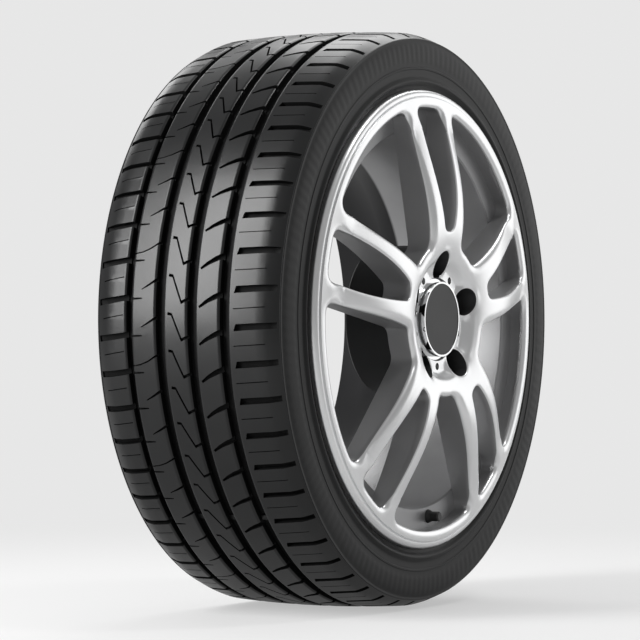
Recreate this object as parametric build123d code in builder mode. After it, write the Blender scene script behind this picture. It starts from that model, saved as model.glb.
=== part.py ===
"""Car wheel with its tyre: a low-profile radial tyre on a five twin-spoke alloy wheel.

The origin is the centre of the hub mounting face. +Y is the spin axis and points inboard,
towards the car, and +Z is up. Sections are drawn across the rim, from its centre plane.
"""
import os
from math import cos, radians, sin, sqrt

from build123d import *

# Rim, for a 17 inch tyre
seat_radius = 218.3
rim_width = 190.5
wheel_offset = 55.0
flange_height = 17.5
flange_curl = 8.8
flange_thickness = 14.0
flange_round = 2.4
seat_length = 19.0
seat_taper = 1.7
well_ramp = 12.25
well_length = 81.0
well_depth = 19.0
well_slope = 6.0
barrel_wall = 5.2
ramp_length = 14.25
ramp_drop = 3.0

# Face of the wheel, from the flange inwards and from the lip outboard
lip_line_inset = 8.2
lip_line_depth = 2.0
lip_width = 10.6
lip_rise = 5.35
ledge_width = 23.0
ledge_setback = 11.25
root_rise = 23.4
spoke_mid_rise = 17.6
spoke_mid_radius = 155.0
spoke_end_rise = 4.8
spoke_end_run = 11.0
spoke_back_drop = 9.0

# Hub
bore_radius = 33.3
bolt_circle_radius = 56.0
bolt_count = 5
bolt_hole_radius = 7.5
bolt_well_radius = 14.0
bolt_seat_thickness = 14.0
bolt_cone_depth = 6.0
hub_margin = 20.0
hub_ring_drop = 16.4
hub_ring_inset = 2.0
hub_wall_drop = 7.0
hub_wall_run = 9.0
pad_chamfer = 2.5

# Spoke pairs, seen from the front, with the first pair pointing up
spoke_turn = 91.0
gap_margin = 4.0
gap_corner = 10.0
gap_flare = 13.0
gap_round = 6.5
pair_half_root = 32.0
pair_half_mid = 41.0
pair_half_end = 47.5
slot_margin = 10.0
slot_half_start = 8.5
slot_half_mid = 23.2
slot_half_end = 26.5
slot_corner = 7.5
slot_flare = 9.0
slot_round = 3.0
root_run = 2.0

# Centre cap
cap_bore_step = 1.8
cap_bore_length = 14.0
cap_recess_width = 11.5
cap_recess_depth = 5.2
cap_recess_gap = 1.4
cap_flange_width = 3.2
cap_flange_thickness = 2.4
cap_wall = 1.8
cap_height = 11.4
cap_web = 2.0
cap_skirt_length = 12.0
cap_skirt_wall = 2.4
cap_finger_count = 6
cap_finger_gap = 5.0
disc_thickness = 1.8
disc_recess = 0.5
cap_clearance = 0.2

# Valve
valve_turn = 277.0
valve_hole_radius = 5.75
valve_wall = 4.0
valve_pocket_radius = 8.8
valve_base_length = 5.0
valve_bulge_radius = 7.2
valve_bulge_length = 5.0
valve_tip_radius = 5.2
tube_radius = 3.9
tube_bore_radius = 2.2
tube_front_length = 12.5
tube_back_length = 11.0
core_length = 15.0
core_tip = 0.8
valve_cap_wall = 1.1
valve_cap_end = 1.4
valve_clearance = 0.1

# Tyre, with its walls placed from the flange and the tread
tyre_radius = 298.0
tread_drop = 3.2
shoulder_drop = 9.7
upper_wall_share = 0.56
protector_rise = 8.7
protector_step = 4.0
protector_overhang = 4.15
protector_width = 2.0
shoulder_inset = 3.2
shoulder_width = 15.0
bead_length = 17.0
bead_height = 9.0
sidewall_thickness = 8.0
crown_thickness = 14.0
belt_inset = 4.0
bead_clearance = 0.2

# Tread pattern, across the tread from its centre, inboard positive
pitch_count = 54
groove_depth = 7.6
groove_pitch = 36.4
groove_centre = 9.0
groove_width = 9.4
narrow_groove_width = 6.6
groove_draft = 0.8
block_slot_depth = 6.6
outer_slot_width = 4.0
outer_slot_inset = 6.0
inner_slot_width = 3.0
rib_slot_width = 3.0
rib_slot_reach = 23.0
rib_slot_angle = 22.0
rib_slot_overlap = 2.0
shoulder_slot_lip = 0.8
tread_turn = 4.3

# Radii of the wheel, and distances outboard of the rim's centre plane
rim_half = rim_width / 2
rim_half_overall = rim_half + flange_thickness
flange_radius = seat_radius + flange_height
curl_centre = rim_half + flange_curl
curl_start_radius = flange_radius - flange_curl
lip_line_radius = flange_radius - lip_line_inset
lip_inner_radius = lip_line_radius - lip_width
ledge_radius = lip_inner_radius - ledge_width
spoke_end_radius = lip_inner_radius - spoke_end_run
hub_radius = bolt_circle_radius + hub_margin
gap_inner_radius = hub_radius + gap_margin
slot_start = gap_inner_radius + slot_margin
root_radius = slot_start + root_run
hub_ring_radius = bolt_circle_radius - hub_ring_inset
cap_bore_radius = bore_radius - cap_bore_step
cap_recess_radius = cap_bore_radius + cap_recess_width
lip_face = rim_half_overall + lip_rise
ledge_face = rim_half_overall - ledge_setback
spoke_back = ledge_face + spoke_back_drop
root_face = lip_face + root_rise
spoke_mid_face = lip_face + spoke_mid_rise
spoke_end_face = lip_face + spoke_end_rise
hub_ring_face = root_face - hub_ring_drop
hub_wall_face = root_face - hub_wall_drop
recess_face = hub_ring_face - cap_recess_depth
bore_end = recess_face - cap_bore_length
bolt_seat_face = wheel_offset + bolt_seat_thickness
half_pair = 180 / bolt_count
valve_radius = (ledge_radius + lip_inner_radius) / 2
section_plane = Plane(origin=(0, wheel_offset, 0), x_dir=(0, 1, 0), z_dir=(1, 0, 0))


def outboard_plane(distance):
    """Plane that faces outboard, at a distance outboard of the rim's centre plane."""
    return Plane.XZ.offset(distance - wheel_offset)


def at_angle(radius, angle):
    """Point at a radius and an angle in degrees."""
    return (radius * cos(radians(angle)), radius * sin(radians(angle)))


def beside_pair(along, across, side):
    """Point on the flank of a pair of spokes, where the gap beside it runs along +X."""
    turn = radians(half_pair)
    out = along * cos(turn) + across * sin(turn)
    apart = along * sin(turn) - across * cos(turn)
    return (out, side * apart)


# Openings in the face: the gap between two pairs, and the slot within a pair
gap_root = sqrt(gap_inner_radius**2 - pair_half_root**2)
gap_end = sqrt(lip_inner_radius**2 - pair_half_end**2)
with BuildSketch() as gap:
    with BuildLine():
        flanks = []
        for side in (1, -1):
            flank = ThreePointArc(
                beside_pair(gap_root, pair_half_root, side),
                beside_pair(spoke_mid_radius, pair_half_mid, side),
                beside_pair(gap_end, pair_half_end, side),
            )
            flanks.append(flank)
        ThreePointArc(flanks[0] @ 0, (gap_inner_radius, 0), flanks[1] @ 0)
        ThreePointArc(flanks[0] @ 1, (lip_inner_radius, 0), flanks[1] @ 1)
    make_face()
    fillet(gap.vertices().group_by(Axis.X)[0], gap_corner)
    fillet(gap.vertices().group_by(Axis.X)[-1], gap_flare)

slot_end = sqrt(lip_inner_radius**2 - slot_half_end**2)
with BuildSketch() as slot:
    with BuildLine():
        flanks = []
        for side in (1, -1):
            flank = ThreePointArc(
                (slot_start, side * slot_half_start),
                (spoke_mid_radius, side * slot_half_mid),
                (slot_end, side * slot_half_end),
            )
            flanks.append(flank)
        Line(flanks[0] @ 0, flanks[1] @ 0)
        ThreePointArc(flanks[0] @ 1, (lip_inner_radius, 0), flanks[1] @ 1)
    make_face()
    fillet(slot.vertices().group_by(Axis.X)[0], slot_corner)
    fillet(slot.vertices().group_by(Axis.X)[-1], slot_flare)

# Alloy wheel: one turned section for barrel, disc and hub, then the openings and holes
well_radius = seat_radius - well_depth
crest_radius = well_radius - well_slope
seat_end = rim_half - seat_length
seat_end_radius = seat_radius - seat_taper
well_front = seat_end - well_ramp
well_back = well_length - well_front
ramp_end = seat_end - ramp_length
ramp_radius = seat_end_radius - ramp_drop

with BuildPart() as wheel:
    with BuildSketch(section_plane):
        with BuildLine():
            # front of the hub, from the bore to the foot of the spokes
            front = Polyline(
                (-recess_face, cap_bore_radius),
                (-recess_face, cap_recess_radius),
                (-hub_ring_face, cap_recess_radius),
                (-hub_ring_face, hub_ring_radius),
                (-hub_wall_face, hub_ring_radius + hub_wall_run),
            )
            # crown of the spokes, running out into the lip
            crown = Spline(
                front @ 1,
                (-root_face, root_radius),
                (-spoke_mid_face, spoke_mid_radius),
                (-spoke_end_face, spoke_end_radius),
                (-lip_face, lip_line_radius),
            )
            # outboard flange
            lip = Polyline(
                crown @ 1,
                (-lip_face + lip_line_depth, lip_line_radius),
                (-rim_half_overall, flange_radius - flange_round),
                (-rim_half_overall + flange_round, flange_radius),
                (-curl_centre, flange_radius),
            )
            # bead seats, with the well between them
            bed = Polyline(
                lip @ 1,
                (-rim_half, curl_start_radius),
                (-rim_half, seat_radius),
                (-seat_end, seat_end_radius),
                (-well_front, well_radius),
                (well_back, crest_radius),
                (ramp_end, ramp_radius),
                (seat_end, seat_end_radius),
                (rim_half, seat_radius),
                (rim_half, curl_start_radius),
                (curl_centre, flange_radius),
            )
            # inboard flange, inside of the barrel, back of the disc and hub pad
            Polyline(
                bed @ 1,
                (rim_half_overall - flange_round, flange_radius),
                (rim_half_overall, flange_radius - flange_round),
                (rim_half_overall, seat_radius),
                (seat_end, seat_end_radius - barrel_wall),
                (ramp_end, ramp_radius - barrel_wall),
                (well_back, crest_radius - barrel_wall),
                (-ledge_face, ledge_radius),
                (-spoke_back, hub_radius),
                (-wheel_offset - pad_chamfer, hub_radius),
                (-wheel_offset, hub_radius - pad_chamfer),
                (-wheel_offset, bore_radius),
                (-bore_end, bore_radius),
                (-bore_end, cap_bore_radius),
                front @ 0,
            )
        make_face()
    revolve(axis=Axis.Y)

    # slots and gaps go down to the ledge behind the lip, and their front rims are eased
    front_limit = wheel_offset - (spoke_back + lip_face) / 2
    for opening, turn, ease in ((slot, spoke_turn, slot_round), (gap, spoke_turn + half_pair, gap_round)):
        with BuildSketch(outboard_plane(ledge_face)):
            with PolarLocations(0, bolt_count, start_angle=turn):
                add(opening.sketch)
        extrude(amount=2 * (root_face - ledge_face), mode=Mode.SUBTRACT)
        rims = wheel.edges(Select.LAST).filter_by(Axis.Y, reverse=True)
        chamfer(rims.filter_by_position(Axis.Y, -root_face, front_limit), ease)

    # deep bolt wells with cone seats
    with Locations(outboard_plane(root_face)):
        with PolarLocations(bolt_circle_radius, bolt_count, start_angle=spoke_turn):
            CounterBoreHole(bolt_hole_radius, bolt_well_radius, root_face - bolt_seat_face)
    with Locations(outboard_plane(bolt_seat_face)):
        with PolarLocations(bolt_circle_radius, bolt_count, start_angle=spoke_turn):
            Cone(
                bolt_hole_radius,
                bolt_well_radius,
                bolt_cone_depth,
                align=(Align.CENTER, Align.CENTER, Align.MAX),
                mode=Mode.SUBTRACT,
            )

    # valve hole, with a pocket behind it that leaves a thin wall at the ledge
    with Locations(outboard_plane(well_front)):
        with Locations(at_angle(valve_radius, valve_turn)):
            Cylinder(
                valve_pocket_radius,
                ledge_face - valve_wall - well_front,
                align=(Align.CENTER, Align.CENTER, Align.MIN),
                mode=Mode.SUBTRACT,
            )
            Cylinder(
                valve_hole_radius,
                ledge_face - well_front,
                align=(Align.CENTER, Align.CENTER, Align.MIN),
                mode=Mode.SUBTRACT,
            )
wheel.part.label = "alloy_wheel"

# Tyre: radii of the wall between flange and tread, and half widths from the flange
shoulder_radius = tyre_radius - shoulder_drop
protector_radius = flange_radius + protector_rise
protector_top = protector_radius + protector_step
section_radius = shoulder_radius - upper_wall_share * (shoulder_radius - protector_top)
protector_half_width = curl_centre + protector_overhang
section_half_width = protector_half_width - protector_width
shoulder_half_width = section_half_width - shoulder_inset
tread_half_width = shoulder_half_width - shoulder_width
belt_half_width = tread_half_width - belt_inset
bead_heel = rim_half - bead_clearance
bead_base_radius = seat_radius + bead_clearance
bead_toe_radius = bead_base_radius - seat_taper * bead_length / seat_length
tread_edge_radius = tyre_radius - tread_drop
liner_radius = tyre_radius - crown_thickness

# One pitch of the tread pattern: three tapered cuts at the top of the tyre
groove_places = [groove_centre + groove_pitch * step for step in (-1.5, -0.5, 0.5, 1.5)]
slot_floor = tyre_radius - block_slot_depth
slot_exit = shoulder_radius + shoulder_slot_lip
outer_slot_start = groove_places[0] - groove_width / 2 - outer_slot_inset
rib_slot_start = groove_places[0] + groove_width / 2 - rib_slot_overlap
rib_slot_slant = rib_slot_reach * sin(radians(rib_slot_angle))
outer_cut = ((0, outer_slot_start, slot_floor), (0, -shoulder_half_width, slot_exit), outer_slot_width)
inner_cut = ((0, groove_places[-1], slot_floor), (0, shoulder_half_width, slot_exit), inner_slot_width)
rib_cut = (
    (0, rib_slot_start, slot_floor),
    (-rib_slot_slant, rib_slot_start + rib_slot_reach, slot_floor),
    rib_slot_width,
)
with BuildPart() as pitch:
    for start, end, width in (outer_cut, inner_cut, rib_cut):
        run = Vector(*end) - Vector(*start)
        base = Vector(*start) + Vector(0, wheel_offset, 0)
        with BuildSketch(Plane(origin=base, x_dir=(-run.Y, run.X, 0), z_dir=run)):
            with BuildLine():
                Polyline((0, 0), (width, 2 * block_slot_depth), (-width, 2 * block_slot_depth), close=True)
            make_face()
        extrude(amount=run.length)
turns = []
for index in range(pitch_count):
    turns.append(Location((0, 0, 0), (0, -tread_turn - 360 * index / pitch_count, 0)))

# The tyre itself: a hollow section that sits on the bead seats, then grooves and slots
with BuildPart() as tyre:
    with BuildSketch(section_plane):
        with BuildLine():
            shoulders = []
            beads = []
            for side in (-1, 1):
                wall = Polyline(
                    (side * (bead_heel - bead_length), bead_toe_radius),
                    (side * bead_heel, bead_base_radius),
                    (side * bead_heel, curl_start_radius),
                    (side * curl_centre, flange_radius + bead_clearance),
                    (side * protector_half_width, protector_radius),
                    (side * section_half_width, protector_top),
                    (side * section_half_width, section_radius),
                    (side * shoulder_half_width, shoulder_radius),
                    (side * tread_half_width, tread_edge_radius),
                )
                beads.append(wall @ 0)
                shoulders.append(wall @ 1)
            ThreePointArc(shoulders[0], (0, tyre_radius), shoulders[1])
            Polyline(
                beads[0],
                (-bead_heel + bead_length, bead_toe_radius + bead_height),
                (-section_half_width + sidewall_thickness, section_radius),
                (-belt_half_width, liner_radius),
                (belt_half_width, liner_radius),
                (section_half_width - sidewall_thickness, section_radius),
                (bead_heel - bead_length, bead_toe_radius + bead_height),
                beads[1],
            )
        make_face()
    revolve(axis=Axis.Y)

    # main grooves, the inboard one narrower
    groove_widths = [groove_width, groove_width, groove_width, narrow_groove_width]
    with BuildSketch(section_plane):
        for place, width in zip(groove_places, groove_widths):
            half = width / 2
            with BuildLine():
                Polyline(
                    (place - half - groove_draft, tyre_radius + groove_draft),
                    (place - half + groove_draft, tyre_radius - groove_depth),
                    (place + half - groove_draft, tyre_radius - groove_depth),
                    (place + half + groove_draft, tyre_radius + groove_draft),
                    close=True,
                )
            make_face()
    revolve(axis=Axis.Y, mode=Mode.SUBTRACT)

    # the slots of each pitch
    with Locations(*turns):
        add(pitch.part, mode=Mode.SUBTRACT)
tyre.part.label = "tyre"

# Centre cap: a chromed ring that snaps into the bore, and a plain disc in it
cap_flange_radius = cap_recess_radius - cap_recess_gap
cap_wall_radius = cap_flange_radius - cap_flange_width
disc_radius = cap_wall_radius - cap_wall - cap_clearance
cap_base = recess_face + cap_clearance
cap_front = recess_face + cap_height
disc_face = cap_front - disc_recess
web_front = disc_face - disc_thickness - cap_clearance
skirt_radius = cap_bore_radius - cap_clearance
skirt_inner_radius = skirt_radius - cap_skirt_wall
skirt_end = recess_face - cap_skirt_length
with BuildPart() as cap_ring:
    with BuildSketch(section_plane):
        with BuildLine():
            Polyline(
                (-web_front, 0),
                (-web_front, disc_radius + cap_clearance),
                (-cap_front, disc_radius + cap_clearance),
                (-cap_front, cap_wall_radius),
                (-cap_base - cap_flange_thickness, cap_wall_radius),
                (-cap_base - cap_flange_thickness, cap_flange_radius),
                (-cap_base, cap_flange_radius),
                (-cap_base, skirt_radius),
                (-skirt_end, skirt_radius),
                (-skirt_end, skirt_inner_radius),
                (-web_front + cap_web, skirt_inner_radius),
                (-web_front + cap_web, 0),
                close=True,
            )
        make_face()
    revolve(axis=Axis.Y)
    with BuildSketch(outboard_plane(skirt_end)):
        with PolarLocations(skirt_radius, cap_finger_count):
            Rectangle(2 * cap_skirt_wall, cap_finger_gap)
    extrude(amount=cap_skirt_length, mode=Mode.SUBTRACT)
cap_ring.part.label = "cap_ring"

with BuildPart() as cap_disc:
    with BuildSketch(outboard_plane(disc_face)):
        Circle(disc_radius)
    extrude(amount=-disc_thickness)
cap_disc.part.label = "cap_disc"

# Valve, along an axis that runs across the rim through the ledge
valve_x, valve_z = at_angle(valve_radius, valve_turn)
valve_axis = Axis((valve_x, 0, valve_z), (0, 1, 0))
valve_plane = Plane(origin=(valve_x, wheel_offset, valve_z), x_dir=(0, 1, 0), z_dir=(1, 0, 0))
valve_back = ledge_face - valve_wall - valve_clearance
rubber_front = ledge_face + valve_bulge_length
rubber_bore = tube_radius + valve_clearance
tube_front = ledge_face + tube_front_length
with BuildPart() as valve_body:
    with BuildSketch(valve_plane):
        with BuildLine():
            Polyline(
                (-rubber_front, rubber_bore),
                (-rubber_front, valve_tip_radius),
                (-ledge_face - valve_clearance, valve_bulge_radius),
                (-ledge_face - valve_clearance, valve_hole_radius - valve_clearance),
                (-valve_back, valve_hole_radius - valve_clearance),
                (-valve_back, valve_pocket_radius - valve_clearance),
                (-valve_back + valve_base_length, valve_pocket_radius - valve_clearance),
                (-valve_back + valve_base_length, rubber_bore),
                close=True,
            )
        make_face()
    revolve(axis=valve_axis)
valve_body.part.label = "valve_body"

with BuildPart() as valve_tube:
    with BuildSketch(outboard_plane(tube_front)):
        with Locations((valve_x, valve_z)):
            Circle(tube_radius)
            Circle(tube_bore_radius, mode=Mode.SUBTRACT)
    extrude(amount=-tube_front_length - tube_back_length)
valve_tube.part.label = "valve_tube"

with BuildPart() as valve_core:
    with BuildSketch(outboard_plane(tube_front - core_tip)):
        with Locations((valve_x, valve_z)):
            Circle(tube_bore_radius - valve_clearance)
    extrude(amount=-core_length)
valve_core.part.label = "valve_core"

with BuildPart() as valve_cap:
    with BuildSketch(valve_plane):
        with BuildLine():
            Polyline(
                (-rubber_front - valve_clearance, rubber_bore),
                (-rubber_front - valve_clearance, rubber_bore + valve_cap_wall),
                (-tube_front - valve_clearance, rubber_bore + valve_cap_wall),
                (-tube_front - valve_clearance - valve_cap_end, tube_radius),
                (-tube_front - valve_clearance - valve_cap_end, 0),
                (-tube_front - valve_clearance, 0),
                (-tube_front - valve_clearance, rubber_bore),
                close=True,
            )
        make_face()
    revolve(axis=valve_axis)
valve_cap.part.label = "valve_cap"

os.makedirs("parts", exist_ok=True)
for piece in (tyre, wheel, cap_ring, cap_disc, valve_body, valve_tube, valve_core, valve_cap):
    export_step(piece.part, f"parts/{piece.part.label}.step")
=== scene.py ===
import math

import bmesh
import bpy
import numpy as np
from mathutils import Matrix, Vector
from mathutils.geometry import delaunay_2d_cdt


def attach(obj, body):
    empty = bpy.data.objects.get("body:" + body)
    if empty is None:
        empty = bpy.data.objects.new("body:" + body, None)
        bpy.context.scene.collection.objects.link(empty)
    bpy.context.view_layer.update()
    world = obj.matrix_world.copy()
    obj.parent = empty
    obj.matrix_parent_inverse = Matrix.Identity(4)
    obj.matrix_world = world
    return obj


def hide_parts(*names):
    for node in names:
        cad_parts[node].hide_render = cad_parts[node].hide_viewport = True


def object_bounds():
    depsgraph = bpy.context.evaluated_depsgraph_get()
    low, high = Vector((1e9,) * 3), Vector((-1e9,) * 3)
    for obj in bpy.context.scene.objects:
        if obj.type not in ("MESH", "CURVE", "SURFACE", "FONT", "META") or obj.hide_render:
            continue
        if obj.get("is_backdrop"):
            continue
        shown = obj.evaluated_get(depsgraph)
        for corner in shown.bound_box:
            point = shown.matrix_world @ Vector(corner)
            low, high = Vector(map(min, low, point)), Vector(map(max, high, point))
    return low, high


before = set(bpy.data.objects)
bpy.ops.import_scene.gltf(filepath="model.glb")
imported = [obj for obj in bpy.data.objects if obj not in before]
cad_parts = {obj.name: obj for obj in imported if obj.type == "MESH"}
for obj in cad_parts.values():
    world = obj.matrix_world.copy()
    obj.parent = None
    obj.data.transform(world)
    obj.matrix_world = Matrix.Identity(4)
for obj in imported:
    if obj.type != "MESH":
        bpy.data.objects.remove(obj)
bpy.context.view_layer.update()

# Alloy wheel. Cast in one piece with five pairs of spokes, then turned and polished on the face;
# its flanks and pockets are a darker grey as painted shade, and its wells, hub drum
# and the inside of the barrel further inboard are near-black as painted shade.
# It carries the tyre on its bead seats and bolts to the hub through five deep wells.
millimetre = 0.001
rim_centre = 55.0
pair_count = 5
pair_step = 360.0 / pair_count
pair_turn = 91.0
gap_turn = pair_turn + pair_step / 2
lip_inner = 217.0
lip_line = 227.6
hub_drum = 76.0
cap_recess = 43.0
well_radius = 14.0
well_circle = 56.0
pin_circle = 48.5


def spot(x, z, outboard):
    """Place in the frame, in metres: x and z on the face, and a distance outboard of the rim's middle."""
    return Vector((x, rim_centre - outboard, z)) * millimetre


def through(at, values):
    """Quadratic through three values."""
    return np.poly1d(np.polyfit(at, values, 2))


def run_length(path):
    """Length along a path up to each of its points."""
    return np.concatenate(([0.0], np.cumsum(np.hypot(*np.diff(path, axis=0).T))))


def trimmed(path, start, end, count=60):
    """The path with a length cut from each end."""
    lengths = run_length(path)
    places = np.linspace(start, lengths[-1] - end, count)
    return np.column_stack([np.interp(places, lengths, path[:, k]) for k in (0, 1)])


def rounded_loop(edges, cuts, spacing):
    """Closed loop of edges with rounded corners, with points at an even spacing."""
    bend_points = 14
    pieces = []
    for index, edge in enumerate(edges):
        following = (index + 1) % len(edges)
        kept = trimmed(edge, cuts[index], cuts[following])
        ahead = trimmed(edges[following], cuts[following], 0.0)[0]
        t = np.linspace(0, 1, bend_points)[1:-1, None]
        bend = (1 - t) ** 2 * kept[-1] + 2 * t * (1 - t) * edge[-1] + t**2 * ahead
        pieces += [kept, bend]
    loop = np.vstack(pieces)
    closed = np.vstack([loop, loop[:1]])
    lengths = run_length(closed)
    count = int(round(lengths[-1] / spacing))
    places = np.linspace(0, lengths[-1], count, endpoint=False)
    return np.column_stack([np.interp(places, lengths, closed[:, k]) for k in (0, 1)])


def anticlockwise(loop):
    """The loop, reversed where it runs clockwise."""
    x, y = loop.T
    area = (x * np.roll(y, -1) - np.roll(x, -1) * y).sum()
    return loop if area > 0 else loop[::-1]


def turned(points, degrees):
    """Points of the face, turned about the axle."""
    a = math.radians(degrees)
    c, s = math.cos(a), math.sin(a)
    return np.column_stack([points[:, 0] * c - points[:, 1] * s, points[:, 0] * s + points[:, 1] * c])


def circle(radius, count, centre=(0.0, 0.0)):
    """Points round a circle."""
    a = np.linspace(0, 2 * math.pi, count, endpoint=False)
    return np.column_stack([centre[0] + radius * np.cos(a), centre[1] + radius * np.sin(a)])


def arc(radius, start, end, count=40):
    """Points along an arc about the axle."""
    a = np.linspace(start, end, count)
    return np.column_stack([radius * np.cos(a), radius * np.sin(a)])


def fifths(radius, first_turn):
    """Places at a radius from the axle, one in each fifth of the wheel."""
    turns = [math.radians(first_turn + pair_step * index) for index in range(pair_count)]
    return np.array([(radius * math.cos(a), radius * math.sin(a)) for a in turns])


# slot within a pair of spokes, along +X, by its half width at root, middle and rim
slot_stations = (90.0, 155.0, 215.4)
slot_halves = (8.5, 23.2, 26.5)
slot_corners = (7.0, 7.0, 11.0, 11.0)
slot_spacing = 2.2
slot_samples = 60
slot_half = through(slot_stations, slot_halves)
slot_along = np.linspace(slot_stations[0], slot_stations[-1], slot_samples)
slot_side = np.column_stack([slot_along, slot_half(slot_along)])
slot_mirror = slot_side * (1, -1)
slot_root = np.array([slot_mirror[0], slot_side[0]])
slot_tip = math.atan2(slot_side[-1, 1], slot_side[-1, 0])
slot_rim = arc(lip_inner, slot_tip, -slot_tip)
slot_loop = rounded_loop([slot_root, slot_side, slot_rim, slot_mirror[::-1]], slot_corners, slot_spacing)

# gap between two pairs, along +X, by the half width of a pair at root, middle and rim
pair_stations = (73.3, 155.0, 211.7)
pair_halves = (32.0, 41.0, 47.5)
gap_inner = 80.0
gap_corners = (9.0, 9.0, 15.0, 15.0)
gap_spacing = 2.4
gap_samples = 80
root_samples = 12
pair_half = through(pair_stations, pair_halves)
half_turn = math.radians(pair_step / 2)
gap_along = np.linspace(pair_stations[0], pair_stations[-1], gap_samples)
gap_side = np.column_stack(
    [
        gap_along * math.cos(half_turn) + pair_half(gap_along) * math.sin(half_turn),
        gap_along * math.sin(half_turn) - pair_half(gap_along) * math.cos(half_turn),
    ]
)
gap_mirror = gap_side * (1, -1)
root_turn = math.atan2(gap_side[0, 1], gap_side[0, 0])
tip_turn = math.atan2(gap_side[-1, 1], gap_side[-1, 0])
gap_root = arc(gap_inner, -root_turn, root_turn, root_samples)
gap_rim = arc(lip_inner, tip_turn, -tip_turn)
gap_loop = rounded_loop([gap_root, gap_side, gap_rim, gap_mirror[::-1]], gap_corners, gap_spacing)

openings = []
for loop, first_turn in ((slot_loop, pair_turn), (gap_loop, gap_turn)):
    for index in range(pair_count):
        openings.append(anticlockwise(turned(loop, first_turn + pair_step * index)))
well_around = 48
well_centres = fifths(well_circle, pair_turn)
wells = [circle(well_radius, well_around, centre) for centre in well_centres]
slot_points = np.vstack(openings[:pair_count])
gap_points = np.vstack(openings[pair_count:])
edge_points = np.vstack(openings)
well_points = np.vstack(wells)


def nearest(points, targets):
    """Distance from each point to the nearest target, worked out in blocks to spare memory."""
    block = 2000
    out = np.empty(len(points))
    for start in range(0, len(points), block):
        gap = points[start : start + block, None, :] - targets[None, :, :]
        out[start : start + block] = np.sqrt((gap**2).sum(2).min(1))
    return out


# rows of points that follow the edges, where they aren't crowded out by another edge
slot_steps = (0.3, 0.9, 1.8, 3.2, 5.0, 7.0)
gap_steps = (0.4, 1.2, 2.4, 4.0, 6.0, 8.2, 10.4)
well_steps = (0.4, 1.0, 2.0)
uncrowded = 0.93
rim_room = 0.8
well_room = 0.35
rows = []
for loop, steps in zip(openings, [slot_steps] * pair_count + [gap_steps] * pair_count):
    ahead = np.roll(loop, -1, 0) - np.roll(loop, 1, 0)
    normal = np.column_stack([ahead[:, 1], -ahead[:, 0]])
    normal /= np.linalg.norm(normal, axis=1)[:, None]
    for step in steps:
        row = loop + normal * step
        rows.append(row[nearest(row, edge_points) > uncrowded * step])
for loop in wells:
    centre = loop.mean(0)
    for step in well_steps:
        rows.append(centre + (loop - centre) * (1 + step / well_radius))
rows = np.vstack(rows)
reach = np.hypot(*rows.T)
rows = rows[(reach > cap_recess + rim_room) & (reach < lip_line - rim_room)]
rows = rows[nearest(rows, well_points) > well_room]

# small circles turned into the hub round the cap, and rings of points that fill the rest of the face
pin_radii = (3.7, 3.2, 2.6, 2.1)
pin_around = 20
pin_centres = fifths(pin_circle, gap_turn)
pins = np.vstack([circle(radius, pin_around, centre) for centre in pin_centres for radius in pin_radii])
hub_rings = np.arange(44.5, 66, 1.8)
face_rings = np.arange(66.5, 226.5, 3.4)
fill_spacing = 3.6
fill = np.vstack([circle(r, int(2 * math.pi * r / fill_spacing)) for r in [*hub_rings, *face_rings]])
fill_rooms = ((slot_points, 8.4), (gap_points, 12.0), (well_points, 3.2), (pins, 1.4))
for targets, room in fill_rooms:
    fill = fill[nearest(fill, targets) > room]


def outlines(loops):
    """Corners of closed loops in one list, and each loop as a list of its places there."""
    corners, members = [], []
    for loop in loops:
        members.append(list(range(len(corners), len(corners) + len(loop))))
        corners += [Vector(p) for p in loop]
    return corners, members


# one flat net for the whole face, split by the rims of its steps
around = 240
drum_around = 120
lead_radius = 31.5
ledge_edge = 195.8
ring_room = 0.5
net_merge = 1e-5
net_loops = [circle(lip_line, around), circle(cap_recess, drum_around)] + openings + wells
net_corners, net_members = outlines(net_loops)
net_edges = []
for radius, count in ((ledge_edge, around), (hub_drum, drum_around), (lead_radius, drum_around)):
    first = len(net_corners)
    net_edges += [(first + k, first + (k + 1) % count) for k in range(count)]
    net_corners += [Vector(p) for p in circle(radius, count)]
inside_points = np.vstack([rows, pins, fill])
for radius in (ledge_edge, hub_drum):
    inside_points = inside_points[np.abs(np.hypot(*inside_points.T) - radius) > ring_room]
net_corners += [Vector(p) for p in inside_points]
flat, _, triangles, _, _, owners = delaunay_2d_cdt(net_corners, net_edges, net_members, 0, net_merge)
flat = np.array([tuple(v) for v in flat])


def chord_reach(points, count):
    """Distance of points from the axle, across the chord of a ring that they lie behind."""
    step = 2 * math.pi / count
    turn = np.arctan2(points[:, 1], points[:, 0])
    return np.hypot(*points.T) * np.cos(turn - (np.floor(turn / step) + 0.5) * step)


def within(points, radius, count):
    """Whether points lie inside a ring of straight chords."""
    return chord_reach(points, count) < radius * math.cos(math.pi / count)


middles = np.array([flat[list(triangle)].mean(0) for triangle in triangles])
inside_ledge = within(middles, ledge_edge, around)
inside_drum = within(middles, hub_drum, drum_around)
inside_lead = within(middles, lead_radius, drum_around)
recess_loop = 1
first_opening = 2
first_well = first_opening + len(openings)
zones = []
for own, in_ledge, in_lead in zip(owners, inside_ledge, inside_lead):
    inmost = max(own)
    if inmost >= first_well:
        zones.append("well")
    elif inmost >= first_opening:
        zones.append("open" if in_ledge else "ledge")
    elif inmost == recess_loop:
        zones.append("bore" if in_lead else "recess")
    else:
        zones.append("face")

# heights of the face, outboard of the rim's middle
crown_radii = (63.0, 92.0, 155.0, 206.0, lip_line)
crown_heights = (131.0, 138.0, 132.2, 119.4, 114.6)
crown = np.poly1d(np.polyfit(crown_radii, crown_heights, 4))
hub_ring_height = 121.6
hub_ring_edge = 53.0
root_radius = 65.0
leg_start = (80, 110)
leg_end = (192, 214)
leg_middle = 22
leg_reach = 16
leg_limit = 1.2
leg_sag = 1.6
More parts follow.
